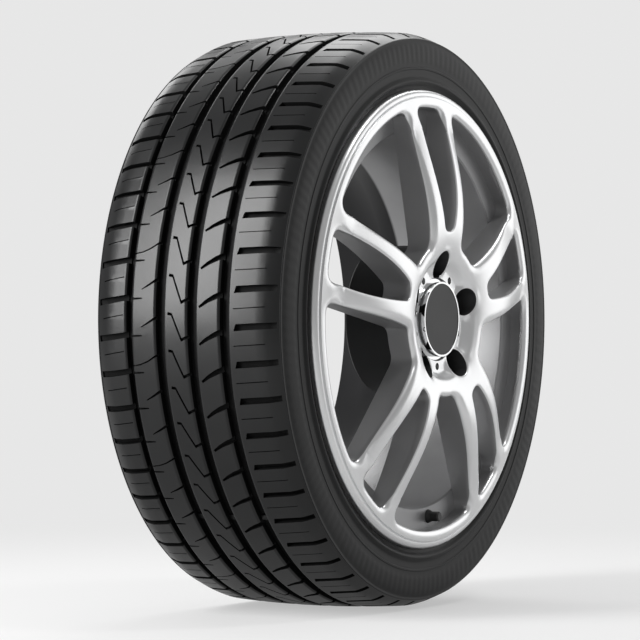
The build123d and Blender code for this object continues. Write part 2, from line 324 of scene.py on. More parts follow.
# rounded edges by drop and width: on the legs, what runs out towards the rim, and what the lip adds
slot_edge = np.array([[1.3], [2.6]])
slot_lip_edge = np.array([[3.9], [5.6]])
gap_edge = np.array([[6.4], [9.6]])
gap_run_out = np.array([[5.2], [7.2]])
gap_lip_edge = np.array([[4.4], [6.0]])
run_out_start = 95.0
run_out_length = 105.0
lip_start = (196, 214)
well_spot_height = 127.6
well_spot_slope = 0.45
well_spot_blend = (well_radius + 0.4, well_radius + 5.0)
well_edge_drop = 0.8
well_edge_width = 1.0
pin_groove = (2.3, 3.4)
pin_depth = 1.4


def smooth(x, low, high):
    """Soft step from 0 to 1 between two limits."""
    t = np.clip((x - low) / (high - low), 0, 1)
    return t * t * (3 - 2 * t)


def eased(away, drop, width):
    """How far a rounded edge falls at a distance from it."""
    inward = np.clip(1 - away / width, 0, 1)
    return drop * (1 - np.sqrt(1 - inward**2))


def face_height(points):
    """How far outboard the face stands."""
    r = np.hypot(*points.T)
    hub_wall = (crown(root_radius) - hub_ring_height) * smooth(r, hub_ring_edge, root_radius)
    height = np.where(r < root_radius, hub_ring_height + hub_wall, crown(r))
    # legs, which sag to their outer sides
    turn = np.degrees(np.arctan2(points[:, 1], points[:, 0])) - pair_turn
    turn = np.radians((turn + pair_step / 2) % pair_step - pair_step / 2)
    across = np.abs(r * np.sin(turn))
    legs = smooth(r * np.cos(turn), *leg_start) * (1 - smooth(r, *leg_end))
    height = height - legs * leg_sag * np.clip((across - leg_middle) / leg_reach, 0, leg_limit) ** 2
    # rounded edges of the slots and gaps
    lip = smooth(r, *lip_start)
    run_out = np.clip((r - run_out_start) / run_out_length, 0, 1)
    slot_ease = slot_edge + slot_lip_edge * lip
    gap_ease = gap_edge - gap_run_out * run_out + gap_lip_edge * lip
    height = height - eased(nearest(points, slot_points), *slot_ease)
    height = height - eased(nearest(points, gap_points), *gap_ease)
    # slanted spots round the wells, and the pin circles
    for centre in well_centres:
        out = points @ (centre / well_circle)
        away = np.hypot(*(points - centre).T)
        well_spot = well_spot_height + well_spot_slope * (out - well_circle)
        height = height + (well_spot - height) * (1 - smooth(away, *well_spot_blend))
    height = height - eased(nearest(points, well_points), well_edge_drop, well_edge_width)
    pin_away = nearest(points, pin_centres)
    return height - pin_depth * ((pin_away > pin_groove[0]) & (pin_away < pin_groove[1]))


back_root = 107.0
back_rim = 98.0
back_rim_radius = 194.0
recess_floor = 116.4
well_floor = 69.0
seat_floor = 63.0
bolt_radius = 7.5
hub_face = rim_centre
back_share = (np.hypot(*flat.T) - hub_drum) / (back_rim_radius - hub_drum)
heights = {
    "face": face_height(flat),
    "back": np.clip(back_root - (back_root - back_rim) * back_share, back_rim, back_root),
    "recess": np.full(len(flat), recess_floor),
    "well": np.full(len(flat), well_floor),
}
pin_away = nearest(flat, pin_centres)
touch = 0.1
in_pin_groove = (pin_away > min(pin_radii) - touch) & (pin_away < max(pin_radii) + touch)
face_finish = 0
# darker grey: painted shade on the flanks and the cap's recess, and the mounting face's own machined grey
pocket_shade_and_pad_finish = 1
# barrel grey, turning near-black further inboard as painted shade
barrel_finish = 2
# near-black painted shade in the wells, pin grooves, bore, hub drum and behind the spokes
painted_shade_finish = 3
wheel_bm = bmesh.new()
made = {}


def corner(i, zone):
    """Point of the net at the height of one zone: face, back, recess or well."""
    if (i, zone) not in made:
        made[i, zone] = wheel_bm.verts.new(spot(flat[i, 0], flat[i, 1], heights[zone][i]))
    return made[i, zone]


def add_face(corners, finish):
    """Face of the wheel with the index of its finish."""
    wheel_bm.faces.new(corners).material_index = finish


sides = {}
for triangle, zone, in_ledge, in_drum in zip(triangles, zones, inside_ledge, inside_drum):
    if zone == "face":
        # the pin grooves are near-black as painted shade
        turned_in = in_pin_groove[list(triangle)].all()
        add_face([corner(i, "face") for i in triangle], painted_shade_finish if turned_in else face_finish)
        # the backs of the spokes are near-black as painted shade
        if in_ledge and not in_drum:
            add_face([corner(i, "back") for i in reversed(triangle)], painted_shade_finish)
    elif zone == "ledge":
        add_face([corner(i, "back") for i in triangle], barrel_finish)
    elif zone == "recess":
        add_face([corner(i, "recess") for i in triangle], pocket_shade_and_pad_finish)
    for k in range(3):
        i, j = triangle[k], triangle[(k + 1) % 3]
        sides.setdefault((min(i, j), max(i, j)), []).append(zone)

# flanks of the openings, from the rounded edge down to the back, and walls of the wells and the recess
flank_rows = 4
flanks = {}


def flank(i):
    """Points down the flank of an opening."""
    if i not in flanks:
        top, back = heights["face"][i], heights["back"][i]
        steps = [top + (back - top) * k / flank_rows for k in range(1, flank_rows)]
        between = [wheel_bm.verts.new(spot(flat[i, 0], flat[i, 1], step)) for step in steps]
        flanks[i] = [corner(i, "face")] + between + [corner(i, "back")]
    return flanks[i]


def well_wall(i, upper):
    """Points down the wall of a well, also where the recess breaks into it."""
    levels = [upper, "well"]
    if upper == "face" and (i, "recess") in made:
        levels.insert(1, "recess")
    return [corner(i, zone) for zone in levels]


for (i, j), pair in sides.items():
    if len(pair) < 2 or pair[0] == pair[1]:
        continue
    pair = set(pair)
    if "face" in pair and pair & {"open", "ledge"}:
        one, two = flank(i), flank(j)
        # the flanks take the darker grey as painted shade
        for k in range(flank_rows):
            add_face((one[k], two[k], two[k + 1], one[k + 1]), pocket_shade_and_pad_finish)
    elif pair == {"face", "recess"}:
        wall = (corner(i, "face"), corner(j, "face"), corner(j, "recess"), corner(i, "recess"))
        add_face(wall, pocket_shade_and_pad_finish)
    elif "well" in pair and pair & {"face", "recess"}:
        upper = "face" if "face" in pair else "recess"
        add_face(well_wall(i, upper) + well_wall(j, upper)[::-1], painted_shade_finish)


def bridge(bm, one, two, finish):
    """Strip of faces between two rings."""
    for k in range(len(one)):
        m = (k + 1) % len(one)
        bm.faces.new((one[k], one[m], two[m], two[k])).material_index = finish


# cone seats and bolt holes under the wells
bolt_loops = []
for loop in wells:
    centre = loop.mean(0)
    edge = [i for i, zone in made if zone == "well" and np.hypot(*(flat[i] - centre)) < well_radius + touch]
    edge.sort(key=lambda i: math.atan2(*(flat[i] - centre)[::-1]))
    hole = centre + (flat[edge] - centre) * (bolt_radius / well_radius)
    bolt_loops.append(hole)
    rings = [[corner(i, "well") for i in edge]]
    for height in (seat_floor, hub_face):
        rings.append([wheel_bm.verts.new(spot(x, z, height)) for x, z in hole])
    bridge(wheel_bm, rings[0], rings[1], painted_shade_finish)
    bridge(wheel_bm, rings[1], rings[2], painted_shade_finish)


def lathe(profile, count, finish):
    """Turns a list of (outboard, radius) about the axle, and gives its last ring."""
    rings = []
    for outboard, r in profile:
        rings.append([wheel_bm.verts.new(spot(x, z, outboard)) for x, z in circle(r, count)])
    for one, two in zip(rings, rings[1:]):
        bridge(wheel_bm, one, two, finish)
    return rings[-1]


def round_run(centre, radius, start, end, count):
    """Points (outboard, radius) along an arc between two angles, in degrees from outboard."""
    turns = np.radians(np.linspace(start, end, count))
    return [(centre[0] + radius * math.cos(a), centre[1] + radius * math.sin(a)) for a in turns]


# lip with its fine turned line
rim_half = 95.25
seat_radius = 218.3
seat_end = (76.25, 216.6)
flange_radius = 235.8
flange_curl = 8.8
curl_centre = (rim_half + flange_curl, flange_radius - flange_curl)
lip_front = 112.9
lip_round = 5.5
round_points = 6
back_points = 5
turned_edge = (112.4, lip_line + 0.2)
turned_floor = (112.1, lip_line + 0.9)
turned_end = (lip_front, lip_line + 1.8)
lip_profile = [(crown_heights[-1], lip_line), turned_edge, turned_floor, turned_end]
lip_profile += round_run((lip_front - lip_round, flange_radius - lip_round), lip_round, 0, 90, round_points)
lip_profile.append((curl_centre[0], flange_radius))
lathe(lip_profile, around, face_finish)

# bead seats with their flanges, the drop centre between them, and the inside of the barrel
rim_back = 109.25
back_round = 3.2
front_curl = round_run(curl_centre, flange_curl, 90, 180, round_points)
front_seat = front_curl + [(rim_half, seat_radius), seat_end]
drop_centre = [(70.0, 208.0), (64.0, 199.3), (-17.0, 193.3), (-62.0, 213.6)]
back_seat = [(-outboard, r) for outboard, r in reversed(front_seat)]
back_centre = (back_round - rim_back, flange_radius - back_round)
back_edge = round_run(back_centre, back_round, 90, 180, back_points)
barrel_inside = [
    (-rim_back, seat_radius), (-101.0, 216.4), (-76.25, 211.4), (-62.0, 208.4), (-40.0, 198.6),
    (-17.0, 188.1), (20.0, 190.0), (60.0, 192.0), (90.0, 193.6), (96.6, 194.2),
]
rim_profile = front_seat + drop_centre + back_seat + back_edge + barrel_inside
barrel_end = lathe(rim_profile, around, barrel_finish)

# bore with its step for the cap's fingers, and the drum of the hub
bore = 33.3
bore_step = 102.4
pad_edge = 73.5
pad_chamfer = 57.5
drum_middle = 80.0
drum_heights = (pad_chamfer, drum_middle, back_root)
bore_profile = [(recess_floor, lead_radius), (bore_step, lead_radius), (bore_step, bore), (hub_face, bore)]
drum_profile = [(hub_face, pad_edge)] + [(height, hub_drum) for height in drum_heights]
# the bore and the hub drum are near-black as painted shade
lathe(bore_profile, drum_around, painted_shade_finish)
lathe(drum_profile, drum_around, painted_shade_finish)

# last strip of the barrel, up to the ledge and the backs of the spokes
same_place = 1e-4
on_chord = np.abs(chord_reach(flat, around) - ledge_edge * math.cos(math.pi / around)) < same_place
sectors = [[] for _ in range(around)]
for i, zone in made:
    if zone == "back" and on_chord[i]:
        turn = (math.atan2(flat[i, 1], flat[i, 0]) % (2 * math.pi)) * around / (2 * math.pi)
        whole = round(turn)
        if abs(turn - whole) < same_place:
            sectors[whole % around].append((0.0, i))
            sectors[(whole - 1) % around].append((1.0, i))
        else:
            sectors[int(turn)].append((turn % 1, i))
for k, sector in enumerate(sectors):
    edge = [corner(i, "back") for _, i in sorted(sector)]
    add_face([barrel_end[(k + 1) % around], barrel_end[k]] + edge, barrel_finish)

# hub mounting face with the bolt holes
pad_loops = [circle(pad_edge, drum_around), circle(bore, drum_around)] + bolt_loops
pad_corners, pad_members = outlines(pad_loops)
pad, _, pad_triangles, _, _, owners = delaunay_2d_cdt(pad_corners, [], pad_members, 0, net_merge)
pad_verts = [wheel_bm.verts.new(spot(x, z, hub_face)) for x, z in pad]
for triangle, own in zip(pad_triangles, owners):
    if list(own) == [0]:
        add_face([pad_verts[i] for i in reversed(triangle)], pocket_shade_and_pad_finish)


def finished_piece(name, bm, weld, sharp_angle):
    """Piece of a mesh with its corners welded and its sharp edges kept."""
    bmesh.ops.remove_doubles(bm, verts=bm.verts, dist=weld)
    bmesh.ops.recalc_face_normals(bm, faces=bm.faces)
    mesh = bpy.data.meshes.new(name)
    bm.to_mesh(mesh)
    bm.free()
    mesh.shade_smooth()
    mesh.set_sharp_from_angle(angle=math.radians(sharp_angle))
    piece = bpy.data.objects.new(name, mesh)
    bpy.context.collection.objects.link(piece)
    return piece


wheel = finished_piece("alloy_wheel_dressed", wheel_bm, weld=2e-5, sharp_angle=38)


def new_material(name):
    """Material with its nodes, links and Principled shader."""
    material = bpy.data.materials.new(name)
    material.use_nodes = True
    nodes = material.node_tree.nodes
    return material, nodes, material.node_tree.links, nodes["Principled BSDF"]


def grain_group():
    """Broad unevenness of a finish as a mask round one half, and fine unevenness as a height for bump."""
    group = bpy.data.node_groups.new("finish_grain", "ShaderNodeTree")
    sockets = {"Fine Scale": "INPUT", "Broad Scale": "INPUT", "Mask": "OUTPUT", "Height": "OUTPUT"}
    for socket, side in sockets.items():
        group.interface.new_socket(socket, in_out=side, socket_type="NodeSocketFloat")
    nodes, links = group.nodes, group.links
    entry = nodes.new("NodeGroupInput")
    leave = nodes.new("NodeGroupOutput")
    place = nodes.new("ShaderNodeTexCoord")
    fine = ("Fine Scale", 3.0, "Height")
    broad = ("Broad Scale", 4.0, "Mask")
    for scale, detail, result in (fine, broad):
        noise = nodes.new("ShaderNodeTexNoise")
        noise.inputs["Detail"].default_value = detail
        links.new(place.outputs["Object"], noise.inputs["Vector"])
        links.new(entry.outputs[scale], noise.inputs["Scale"])
        links.new(noise.outputs["Fac"], leave.inputs[result])
    return group


finish_grain = grain_group()
grain_band = (0.3, 0.7)


def grained_finish(name, colours, roughness, fine, broad, bump, metallic=0.0, specular=0.5):
    """Material of two close colours, with an uneven roughness and a slight bump in millimetres."""
    material, nodes, links, shader = new_material(name)
    shader.inputs["Metallic"].default_value = metallic
    shader.inputs["Specular IOR Level"].default_value = specular
    grain = nodes.new("ShaderNodeGroup")
    grain.node_tree = finish_grain
    grain.inputs["Fine Scale"].default_value = fine
    grain.inputs["Broad Scale"].default_value = broad
    ramp = nodes.new("ShaderNodeValToRGB")
    for element, position, colour in zip(ramp.color_ramp.elements, grain_band, colours):
        element.position = position
        element.color = (*colour, 1)
    links.new(grain.outputs["Mask"], ramp.inputs["Fac"])
    links.new(ramp.outputs["Color"], shader.inputs["Base Color"])
    span = nodes.new("ShaderNodeMapRange")
    span.inputs["To Min"].default_value = roughness[0]
    span.inputs["To Max"].default_value = roughness[1]
    links.new(grain.outputs["Mask"], span.inputs["Value"])
    links.new(span.outputs["Result"], shader.inputs["Roughness"])
    relief = nodes.new("ShaderNodeBump")
    relief.inputs["Strength"].default_value = 1.0
    relief.inputs["Distance"].default_value = bump * millimetre
    links.new(grain.outputs["Height"], relief.inputs["Height"])
    links.new(relief.outputs["Normal"], shader.inputs["Normal"])
    return material


polished = grained_finish(
    "polished_face",
    colours=((0.86, 0.865, 0.87), (0.90, 0.905, 0.91)),
    roughness=(0.28, 0.34),
    fine=900.0,
    broad=14.0,
    bump=0.01,
    metallic=1.0,
)

# painted shade: the flanks of the openings and the cap's recess are a darker grey than the polished face,
# standing in for the shade on them; the hub's mounting face shares this grey as its own machined finish
pocket_shade_and_pad = grained_finish(
    "pocket_shade_and_pad_grey",
    colours=((0.44, 0.44, 0.445), (0.50, 0.50, 0.505)),
    roughness=(0.36, 0.46),
    fine=1400.0,
    broad=18.0,
    bump=0.03,
    metallic=0.75,
)

barrel = grained_finish(
    "barrel_grey_and_inboard_shade",
    colours=((0.33, 0.33, 0.335), (0.385, 0.385, 0.39)),
    roughness=(0.34, 0.44),
    fine=1200.0,
    broad=16.0,
    bump=0.03,
    metallic=0.6,
)
# painted shade: the barrel turns near-black further inboard, where its inside lies in shade
inboard_shade_start = 0.069
inboard_shade_full = 0.072
inboard_shade_colour = (0.012, 0.012, 0.013, 1)
nodes, links = barrel.node_tree.nodes, barrel.node_tree.links
barrel_colour_input = nodes["Principled BSDF"].inputs["Base Color"]
where = nodes.new("ShaderNodeTexCoord")
split = nodes.new("ShaderNodeSeparateXYZ")
inboard = nodes.new("ShaderNodeMapRange")
inboard.inputs["From Min"].default_value = inboard_shade_start
inboard.inputs["From Max"].default_value = inboard_shade_full
tint = nodes.new("ShaderNodeMix")
tint.data_type = "RGBA"
tint.inputs["B"].default_value = inboard_shade_colour
links.new(where.outputs["Object"], split.inputs["Vector"])
links.new(split.outputs["Y"], inboard.inputs["Value"])
links.new(inboard.outputs["Result"], tint.inputs["Factor"])
links.new(barrel_colour_input.links[0].from_socket, tint.inputs["A"])
links.new(tint.outputs["Result"], barrel_colour_input)

# painted shade: near-black on the walls and cone seats of the wells, the pin grooves, the bore, the hub
# drum and the backs of the spokes, where shade falls
cavity_shade = grained_finish(
    "cavity_painted_shade",
    colours=((0.028, 0.028, 0.029), (0.040, 0.040, 0.041)),
    roughness=(0.45, 0.55),
    fine=1200.0,
    broad=16.0,
    bump=0.03,
    metallic=0.3,
)

for material in (polished, pocket_shade_and_pad, barrel, cavity_shade):
    wheel.data.materials.append(material)
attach(wheel, "root")
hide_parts("alloy_wheel")

# Tyre. A low-profile radial, moulded as one piece of black rubber: four grooves, ribs with slits,
# shoulder blocks with wide slots and fine sipes, and ringed sidewalls down to the beads.
# It is pressed onto the bead seats of the wheel by its own air.
tyre_radius = 298.0
tread_edge = 88.0
tread_drop = 3.2
shoulder_edge = 103.0
shoulder_low = 288.3
shoulder_lean = 0.62
shoulder_power = 2.2
groove_lines = [(-50.3, -40.9), (-13.9, -4.5), (22.5, 31.9), (60.3, 66.9)]
groove_depth = 7.6
wear_bar_height = 1.7
edge_width = 2.4
edge_drop = 1.3
edge_steps = (0.6, 1.4, 2.4, 2.9)
shoulder_lines = [68.0, 79.0, 88.0, 92.5, 96.5, 100.0]
across_lines = [-u for u in reversed(shoulder_lines)] + shoulder_lines
for low, high in groove_lines:
    for step in edge_steps:
        across_lines += [low - step, high + step]

# one pitch drawn flat, with its wide slot a share of the way along it
cell_length = 34.9
cell_degrees = 6.7
cell_start = 2.85 / cell_degrees
cell_merge = 1e-4
cross_shares = (0.25, 0.5, 0.75)
wall_divisions = 12
bar_span = (-0.2, 1.0)

# pitches of three lengths in an uneven order, so that no one tone of tyre noise builds up
pitch_angles = {"S": 6.2, "M": 6.75, "L": 7.25}
seen_order = "LLSSMSSLLLMLMMSSLS"
far_order = "MSLSMSMLSLMSLMSSMLSMSMLSSMSLMSMLSMSM"
pitch_order = seen_order + far_order
first_slot = 113.8
pitch_total = sum(pitch_angles[letter] for letter in pitch_order)
slot_turns = [first_slot]
for letter in pitch_order[:-1]:
    slot_turns.append(slot_turns[-1] + pitch_angles[letter] * 360.0 / pitch_total)
pitch_ends = []
for turn, following in zip(slot_turns, slot_turns[1:] + [first_slot + 360.0]):
    pitch_ends.append(turn + (1 - cell_start) * (following - turn))
pitch_starts = [pitch_ends[-1] - 360.0] + pitch_ends[:-1]


def crown_radius(u):
    """Radius of the tread's surface across its width."""
    u = np.abs(u)
    t = np.clip((u - tread_edge) / (shoulder_edge - tread_edge), 0, 1)
    fall = shoulder_lean * t + (1 - shoulder_lean) * t**shoulder_power
    edge_radius = tyre_radius - tread_drop
    shoulder = edge_radius - (edge_radius - shoulder_low) * fall
    return np.where(u < tread_edge, tyre_radius - tread_drop * (u / tread_edge) ** 2, shoulder)


def strip(points, widths):
    """Outline of a cut that follows points, with a width at each."""
    points = np.array(points, float)
    widths = np.array(widths, float) / 2
    along = np.gradient(points, axis=0)
    along /= np.linalg.norm(along, axis=1)[:, None]
    side = np.column_stack([-along[:, 1], along[:, 0]]) * widths[:, None]
    return np.vstack([points + side, (points - side)[::-1]])


def at(degrees, u):
    """Place in a pitch, in millimetres, from degrees after the wide slot."""
    return ((degrees / cell_degrees + cell_start) * cell_length, u)


def pitch_cuts(long_slit):
    """Cuts of one pitch: each an outline, and depths at distances from the middle of the tread."""
    cuts = []
    for low, high in groove_lines:
        cuts.append(([(0, low), (cell_length, low), (cell_length, high), (0, high)], {0: groove_depth}))
    # outboard shoulder: wide slot with a slanted inner end, and a fine sipe beside it
    slot = [at(-0.70, -101.0), at(0.42, -101.0), at(0.62, -79.0)]
    slot += [at(0.86, -56.6), at(-0.40, -58.6), at(-0.58, -79.0)]
    cuts.append((slot, {56: 4.2, 70: 6.2, 96: 5.4, 101: 1.6}))
    cuts.append((strip([at(3.55, -56.0), at(3.38, -74.0), at(3.22, -90.0)], (0.9, 0.9, 0.9)), {0: 4.0}))
    # rib beside it: a tapered slit that leans forward
    slit = [at(0.55, -41.5), at(1.60, -41.5), at(2.55, -28.0), at(3.45, -19.0)]
    slit += [at(3.10, -17.6), at(2.05, -25.0), at(1.15, -33.5)]
    cuts.append((slit, {17: 3.0, 41: 6.0}))
    # centre rib: a kinked sipe
    sipe = [at(1.60, -5.0), at(2.15, -5.0), at(2.72, 2.2), at(-1.95, 13.2)]
    sipe += [at(-2.10, 17.6), at(-2.62, 17.2), at(-2.45, 12.4), at(2.08, 1.6)]
    cuts.append((sipe, {0: 4.6}))
    # inner rib: leaning slits from one groove, some right across it, and notches from the other
    if long_slit:
        line = [at(-1.5, 31.4), at(-0.4, 42.0), at(0.2, 51.0), at(0.5, 60.8)]
        cuts.append((strip(line, (1.9, 1.4, 1.2, 1.4)), {0: 4.6}))
    else:
        cuts.append((strip([at(-1.6, 31.4), at(-0.7, 40.0), at(0.1, 48.5)], (2.6, 1.9, 0.9)), {0: 4.6}))
    cuts.append((strip([at(1.75, 60.8), at(1.7, 54.0), at(1.65, 47.5)], (2.3, 1.9, 1.2)), {0: 4.2}))
    # inboard shoulder: slanted wide slot into the narrow groove, and a fine sipe
    line = [at(1.50, 66.4), at(1.85, 80.0), at(2.30, 101.0)]
    cuts.append((strip(line, (5.4, 5.8, 6.0)), {66: 6.2, 96: 5.2, 101: 1.6}))
    cuts.append((strip([at(-2.15, 70.0), at(-1.75, 84.0), at(-1.40, 95.0)], (0.9, 0.9, 0.9)), {0: 4.0}))
    return cuts


def pitch_mesh(long_slit, wear_bars):
    """Corners of one pitch as shares of its length, places across and heights, and its faces."""
    cuts = pitch_cuts(long_slit)
    bars = []
    if wear_bars:
        start, end = bar_span
        for low, high in groove_lines[:3]:
            bars.append([at(start, low), at(end, low), at(end, high), at(start, high)])
    steps = [cell_length * k / wall_divisions for k in range(wall_divisions + 1)]
    border = [(x, -shoulder_edge) for x in steps] + [(x, shoulder_edge) for x in reversed(steps)]
    loops = [border] + [outline for outline, _ in cuts] + bars
    corners, members = outlines([anticlockwise(np.array(loop, float)) for loop in loops])
    lines = [((0, u), (cell_length, u)) for u in across_lines]
    for share in cross_shares:
        lines.append(((share * cell_length, -shoulder_edge), (share * cell_length, shoulder_edge)))
    edges = []
    for line in lines:
        edges.append((len(corners), len(corners) + 1))
        corners += [Vector(p) for p in line]
    flat, _, triangles, _, _, owners = delaunay_2d_cdt(corners, edges, members, 0, cell_merge)
    flat = np.array([tuple(v) for v in flat])
    u = flat[:, 1]
    rounding = np.zeros(len(flat))
    for low, high in groove_lines:
        away = np.maximum(np.maximum(low - u, u - high), 0)
        rounding = np.maximum(rounding, edge_drop * np.clip(1 - away / edge_width, 0, None) ** 2)
    first_bar = 1 + len(cuts)
    made = {}
    depths = [set() for _ in flat]
    places = []

    def cut_depth(level, across):
        """Depth of one cut at a place across the tread."""
        known = cuts[level - 1][1]
        return float(np.interp(abs(across), list(known), list(known.values())))

    def depth_at(i, level):
        """Depth of a point at the surface, on a wear bar or at the floor of one cut."""
        if level == 0:
            depth = rounding[i]
        elif level >= first_bar:
            depth = groove_depth - wear_bar_height
        else:
            depth = cut_depth(level, u[i])
        return round(float(depth), 4)

    def corner_at(i, depth):
        """Number of the corner at a point and a depth."""
        if (i, depth) not in made:
            made[i, depth] = len(places)
            depths[i].add(depth)
            places.append((flat[i, 0] / cell_length, u[i], -depth))
        return made[i, depth]

    def upright(i, one, two):
        """Corners at a point from one level to another, with those of the levels between."""
        start, end = depth_at(i, one), depth_at(i, two)
        steps = sorted(d for d in depths[i] if min(start, end) <= d <= max(start, end))
        return [corner_at(i, d) for d in (steps if start < end else steps[::-1])]

    faces = []
    sides = {}
    for triangle, own in zip(triangles, owners):
        bar = [k for k in own if k >= first_bar]
        cut = [k for k in own if 0 < k < first_bar]
        level = bar[0] if bar else 0
        if not bar and cut:
            middle = float(np.mean([u[i] for i in triangle]))
            level = max(cut, key=lambda k: cut_depth(k, middle))
        faces.append(([corner_at(i, depth_at(i, level)) for i in triangle][::-1], 0 < level < first_bar))
        for k in range(3):
            i, j = triangle[k], triangle[(k + 1) % 3]
            sides.setdefault((min(i, j), max(i, j)), []).append((i, j, level))
    for pair in sides.values():
        if len(pair) == 2 and pair[0][2] != pair[1][2]:
            i, j, one = pair[0]
            two = pair[1][2]
            wall = upright(j, one, two) + upright(i, two, one)
            if len(wall) > 2:
                faces.append((wall, True))
    return np.array(places), faces


tread_finish = 0
wall_finish = 1
# darker rubber inside the cuts, as painted shade
cut_shade_finish = 2
pitches = {
    "short": pitch_mesh(long_slit=False, wear_bars=False),
    "long": pitch_mesh(long_slit=True, wear_bars=False),
    "wear": pitch_mesh(long_slit=False, wear_bars=True),
}
# of every eighteen pitches, those with the long slit and the one with the wear bars
pitch_kinds = ["short", "long", "short", "short", "short", "long"] + ["short", "short", "long"] * 3
pitch_kinds += ["short", "wear", "short"]
tyre_bm = bmesh.new()
for k, (start, end) in enumerate(zip(pitch_starts, pitch_ends)):
    places, faces = pitches[pitch_kinds[k % len(pitch_kinds)]]
    r = (crown_radius(places[:, 1]) + places[:, 2]) * millimetre
    a = np.radians(start + places[:, 0] * (end - start))
    y = (rim_centre + places[:, 1]) * millimetre
    verts = [tyre_bm.verts.new(place) for place in zip(r * np.cos(a), y, r * np.sin(a))]
    for corners, inside_cut in faces:
        face = tyre_bm.faces.new([verts[c] for c in corners])
        face.material_index = cut_shade_finish if inside_cut else tread_finish

# sidewalls with a ring at the shoulder, a band of fine ribs, a raised line and a rounded rim protector
wall_half = 106.2
widest_radius = 264.0
wall_top = 286.1
top_drop = 2.1
top_power = 2.5
foot_radius = 236.0
foot_drop = 2.15
foot_power = 3
protector_radius = 244.5
protector_reach = 5.8
protector_rise = 2.85
line_low = 257.2
line_high = 258.6
line_rise = 0.6
rib_low = 265.0
rib_high = 281.6
rib_rise = 0.3
rib_wave = (0.0, 0.6, 1.0, 0.6)
bead_clearance = 0.2
bead_toe = (78.05, 217.0)


def wall_out(r):
    """Half width of the tyre at a radius of its sidewall."""
    above = max(r - widest_radius, 0) / (wall_top - widest_radius)
    below = max(widest_radius - r, 0) / (widest_radius - foot_radius)
    swell = 1 + math.cos(math.pi * min(abs(r - protector_radius) / protector_reach, 1))
    raised = line_rise if line_low <= r <= line_high else 0.0
    plain = wall_half - top_drop * above**top_power - foot_drop * below**foot_power
    return plain + protector_rise * swell / 2 + raised


wall_rows = [wall_top, 284.9, 283.2, 281.4, 277.4, 273.0, 268.4, 265.2, 263.6, 261.0, 259.4]
wall_rows += [line_high, line_low, 256.4, 253.0, *np.linspace(250.4, 237.2, 13)]
shoulder_ring = [(103.6, 288.6), (104.3, 288.1), (104.4, 287.0)]
wall_profile = [(shoulder_edge, shoulder_low)] + shoulder_ring + [(wall_out(r), r) for r in wall_rows]
wall_profile += round_run(curl_centre, flange_curl + bead_clearance, 90, 180, round_points)
wall_profile += [(rim_half - bead_clearance, seat_radius + bead_clearance), bead_toe]
inside_profile = [(78.05, 226.0), (88.0, 240.0), (97.0, 256.0), (98.2, 266.0), (95.0, 276.0), (84.0, 284.0)]
half_section = wall_profile + inside_profile
stations = []
for start, end in zip(pitch_starts, pitch_ends):
    stations += [start + (end - start) * part / wall_divisions for part in range(wall_divisions)]
rings = []
for u, r in [(-u, r) for u, r in half_section] + half_section[::-1]:
    ribbed = abs(u) > shoulder_edge and rib_low < r < rib_high
    ring = []
    for number, turn in enumerate(stations):
        a = math.radians(turn)
        out = u + math.copysign(rib_rise * rib_wave[number % len(rib_wave)], u) if ribbed else u
        ring.append(tyre_bm.verts.new(spot(r * math.cos(a), r * math.sin(a), -out)))
    rings.append(ring)
for one, two in zip(rings, rings[1:]):
    bridge(tyre_bm, one, two, wall_finish)
tyre = finished_piece("tyre_dressed", tyre_bm, weld=1e-5, sharp_angle=32)

tread_rubber = grained_finish(
    "tread_rubber",
    colours=((0.006, 0.0062, 0.0065), (0.009, 0.0092, 0.0095)),
    roughness=(0.27, 0.34),
    fine=700.0,
    broad=22.0,
    bump=0.04,
    specular=0.4,
)

wall_rubber = grained_finish(
    "sidewall_rubber",
    colours=((0.010, 0.0102, 0.0105), (0.016, 0.0162, 0.0165)),
    roughness=(0.44, 0.52),
    fine=700.0,
    broad=22.0,
    bump=0.05,
    specular=0.28,
)

# painted shade: the floors and walls of the grooves, slots and sipes are darker than the tread, standing in
# for the shade inside them
cut_shade_rubber = grained_finish(
    "groove_rubber_shade",
    colours=((0.004, 0.0041, 0.0042), (0.006, 0.0061, 0.0062)),
    roughness=(0.60, 0.70),
    fine=700.0,
    broad=22.0,
    bump=0.04,
    specular=0.12,
)

for material in (tread_rubber, wall_rubber, cut_shade_rubber):
    tyre.data.materials.append(material)
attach(tyre, "root")
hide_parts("tyre")

# Centre cap. A chromed plastic ring that snaps into the wheel's bore by its fingers,
# with a plain dark disc pressed into its front.


def dress(name, material):
    """Gives a CAD node its finish."""
    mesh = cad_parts[name].data
    mesh.materials.clear()
    mesh.materials.append(material)


chrome = grained_finish(
    "cap_chrome",
    colours=((0.82, 0.825, 0.83), (0.88, 0.885, 0.89)),
    roughness=(0.06, 0.1),
    fine=800.0,
    broad=30.0,
    bump=0.005,
    metallic=1.0,
)
dress("cap_ring", chrome)

dark_disc = grained_finish(
    "cap_disc_dark",
    colours=((0.026, 0.026, 0.027), (0.032, 0.032, 0.033)),
    roughness=(0.45, 0.52),
    fine=1500.0,
    broad=40.0,
    bump=0.01,
)
dress("cap_disc", dark_disc)

# Valve. A rubber body pulled through the hole in the ledge, moulded round a brass tube with its core,
# and closed by a small plastic cap.
valve_rubber = grained_finish(
    "valve_rubber",
    colours=((0.012, 0.012, 0.012), (0.02, 0.02, 0.02)),
    roughness=(0.5, 0.62),
    fine=1800.0,
    broad=60.0,
    bump=0.03,
)
dress("valve_body", valve_rubber)

valve_brass = grained_finish(
    "valve_brass",
    colours=((0.55, 0.42, 0.19), (0.64, 0.5, 0.24)),
    roughness=(0.22, 0.3),
    fine=1800.0,
    broad=60.0,
    bump=0.01,
    metallic=1.0,
)
dress("valve_tube", valve_brass)
dress("valve_core", valve_brass)

